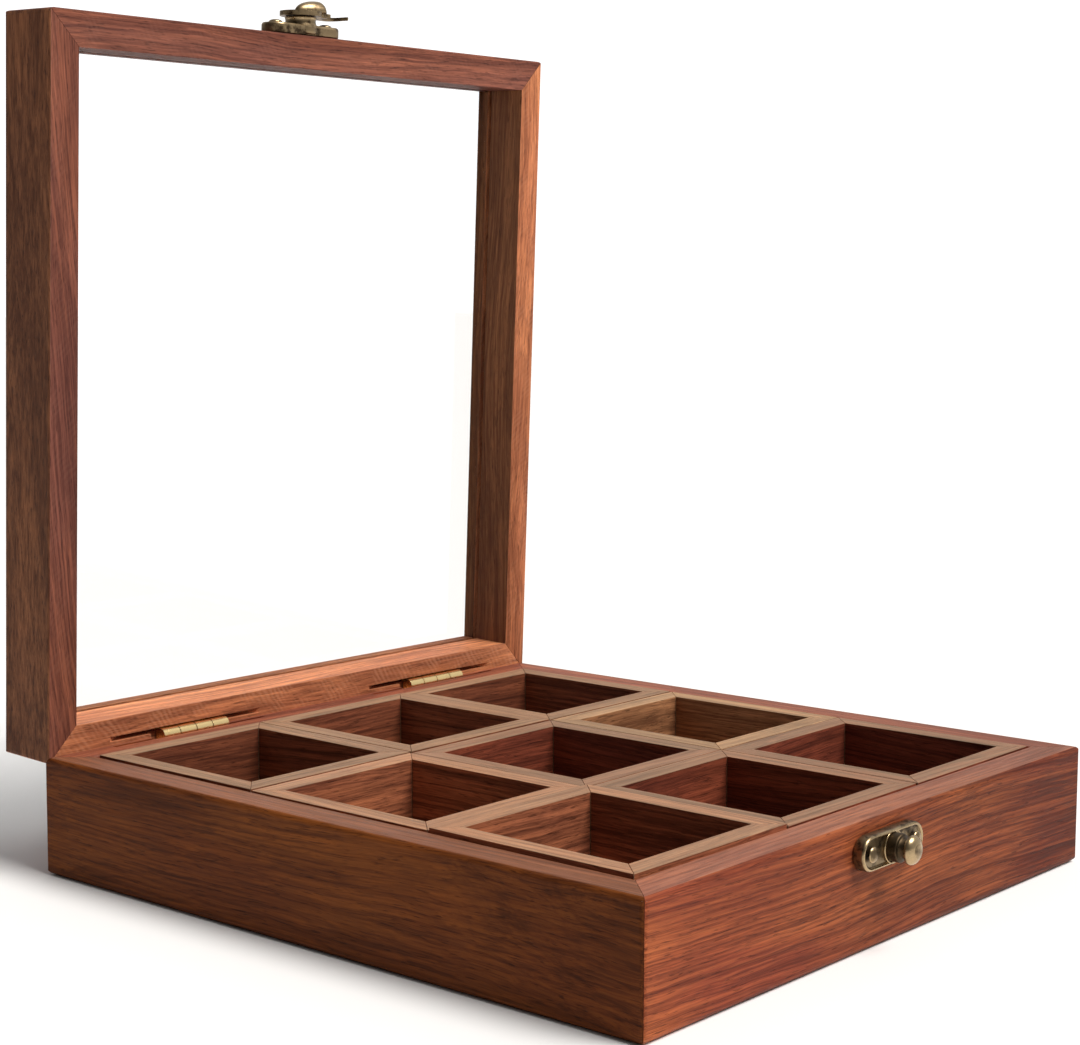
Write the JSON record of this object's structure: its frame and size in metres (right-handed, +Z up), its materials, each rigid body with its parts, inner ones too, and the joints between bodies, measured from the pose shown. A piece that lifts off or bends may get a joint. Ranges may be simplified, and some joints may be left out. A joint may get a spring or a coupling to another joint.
{
  "type": "spice box with glass lid",
  "caption": "Square hardwood spice box with loose square cups in a tray, a framed glass lid on butt hinges, and a swing hook that catches a headed peg.",
  "frame": {"origin": "centre of the tray's underside, on the surface the box stands on", "axes": "+X to the right along the front with the hook facing the user, +Y from the front to the hinge side, +Z up"},
  "size_m": [0.2032, 0.2312, 0.2453],
  "materials": {
    "rosewood_dark": "oiled and lightly buffed, dark heartwood with wavy lengthwise grain",
    "rosewood_red": "oiled and lightly buffed, reddish brown with lighter streaks",
    "rosewood_orange": "planed, orange tan with saw marks",
    "cup_wood": "bare sanded wood, tan end and edge grain",
    "cup_floor_wood": "bare sawn wood",
    "panel_wood": "bare sanded wood",
    "bright_brass": "bright rolled brass",
    "antique_brass": "antique brass, tarnished olive brown with rubbed bright edges",
    "clear_glass": "clear polished float glass"
  },
  "bodies": {
    "tray": {"tray_front_wall": "rosewood_red", "tray_right_wall": "rosewood_red", "tray_back_wall": "rosewood_red", "tray_left_wall": "rosewood_dark", "tray_bottom_panel": "panel_wood", "hinge_left_tray_leaf": "bright_brass", "hinge_left_pin": "bright_brass", "hinge_left_tray_brad_1": "bright_brass", "hinge_left_tray_brad_2": "bright_brass", "hinge_right_tray_leaf": "bright_brass", "hinge_right_pin": "bright_brass", "hinge_right_tray_brad_1": "bright_brass", "hinge_right_tray_brad_2": "bright_brass", "keeper_plate": "antique_brass", "keeper_peg": "antique_brass", "keeper_nail_1": "antique_brass", "keeper_nail_2": "antique_brass"},
    "lid": {"lid_front_rail": "rosewood_red", "lid_right_rail": "rosewood_orange", "lid_back_rail": "rosewood_orange", "lid_left_rail": "rosewood_red", "lid_glass": "clear_glass", "hinge_left_lid_leaf": "bright_brass", "hinge_left_lid_brad_1": "bright_brass", "hinge_left_lid_brad_2": "bright_brass", "hinge_right_lid_leaf": "bright_brass", "hinge_right_lid_brad_1": "bright_brass", "hinge_right_lid_brad_2": "bright_brass", "latch_plate": "antique_brass", "latch_rivet": "antique_brass", "latch_nail_1": "antique_brass", "latch_nail_2": "antique_brass"},
    "hook": {"latch_hook": "antique_brass"},
    "cup_front_left": {"cup_front_left_walls": "cup_wood", "cup_front_left_floor": "cup_floor_wood"},
    "cup_front_centre": {"cup_front_centre_walls": "cup_wood", "cup_front_centre_floor": "cup_floor_wood"},
    "cup_front_right": {"cup_front_right_walls": "cup_wood", "cup_front_right_floor": "cup_floor_wood"},
    "cup_middle_left": {"cup_middle_left_walls": "cup_wood", "cup_middle_left_floor": "cup_floor_wood"},
    "cup_middle_centre": {"cup_middle_centre_walls": "cup_wood", "cup_middle_centre_floor": "cup_floor_wood"},
    "cup_middle_right": {"cup_middle_right_walls": "cup_wood", "cup_middle_right_floor": "cup_floor_wood"},
    "cup_back_left": {"cup_back_left_walls": "cup_wood", "cup_back_left_floor": "cup_floor_wood"},
    "cup_back_centre": {"cup_back_centre_walls": "cup_wood", "cup_back_centre_floor": "cup_floor_wood"},
    "cup_back_right": {"cup_back_right_walls": "cup_wood", "cup_back_right_floor": "cup_floor_wood"}
  },
  "joints": [
    {"name": "lid_hinge", "type": "hinge", "parent": "tray", "child": "lid", "pos_m": [0, 0.0994, 0.03295], "axis": [-1, 0, 0], "range_deg": [-88, 0]},
    {"name": "hook_swing", "type": "hinge", "parent": "lid", "child": "hook", "pos_m": [-0.0046, 0.09793, 0.23402], "axis": [0, -0.0349, 0.9994], "range_deg": [-90, 90]},
    {"name": "cup_front_left_lift", "type": "slide", "parent": "tray", "child": "cup_front_left", "axis": [0, 0, 1], "range_m": [0, 0.045]},
    {"name": "cup_front_centre_lift", "type": "slide", "parent": "tray", "child": "cup_front_centre", "axis": [0, 0, 1], "range_m": [0, 0.045]},
    {"name": "cup_front_right_lift", "type": "slide", "parent": "tray", "child": "cup_front_right", "axis": [0, 0, 1], "range_m": [0, 0.045]},
    {"name": "cup_middle_left_lift", "type": "slide", "parent": "tray", "child": "cup_middle_left", "axis": [0, 0, 1], "range_m": [0, 0.045]},
    {"name": "cup_middle_centre_lift", "type": "slide", "parent": "tray", "child": "cup_middle_centre", "axis": [0, 0, 1], "range_m": [0, 0.045]},
    {"name": "cup_middle_right_lift", "type": "slide", "parent": "tray", "child": "cup_middle_right", "axis": [0, 0, 1], "range_m": [0, 0.045]},
    {"name": "cup_back_left_lift", "type": "slide", "parent": "tray", "child": "cup_back_left", "axis": [0, 0, 1], "range_m": [0, 0.045]},
    {"name": "cup_back_centre_lift", "type": "slide", "parent": "tray", "child": "cup_back_centre", "axis": [0, 0, 1], "range_m": [0, 0.045]},
    {"name": "cup_back_right_lift", "type": "slide", "parent": "tray", "child": "cup_back_right", "axis": [0, 0, 1], "range_m": [0, 0.045]}
  ]
}
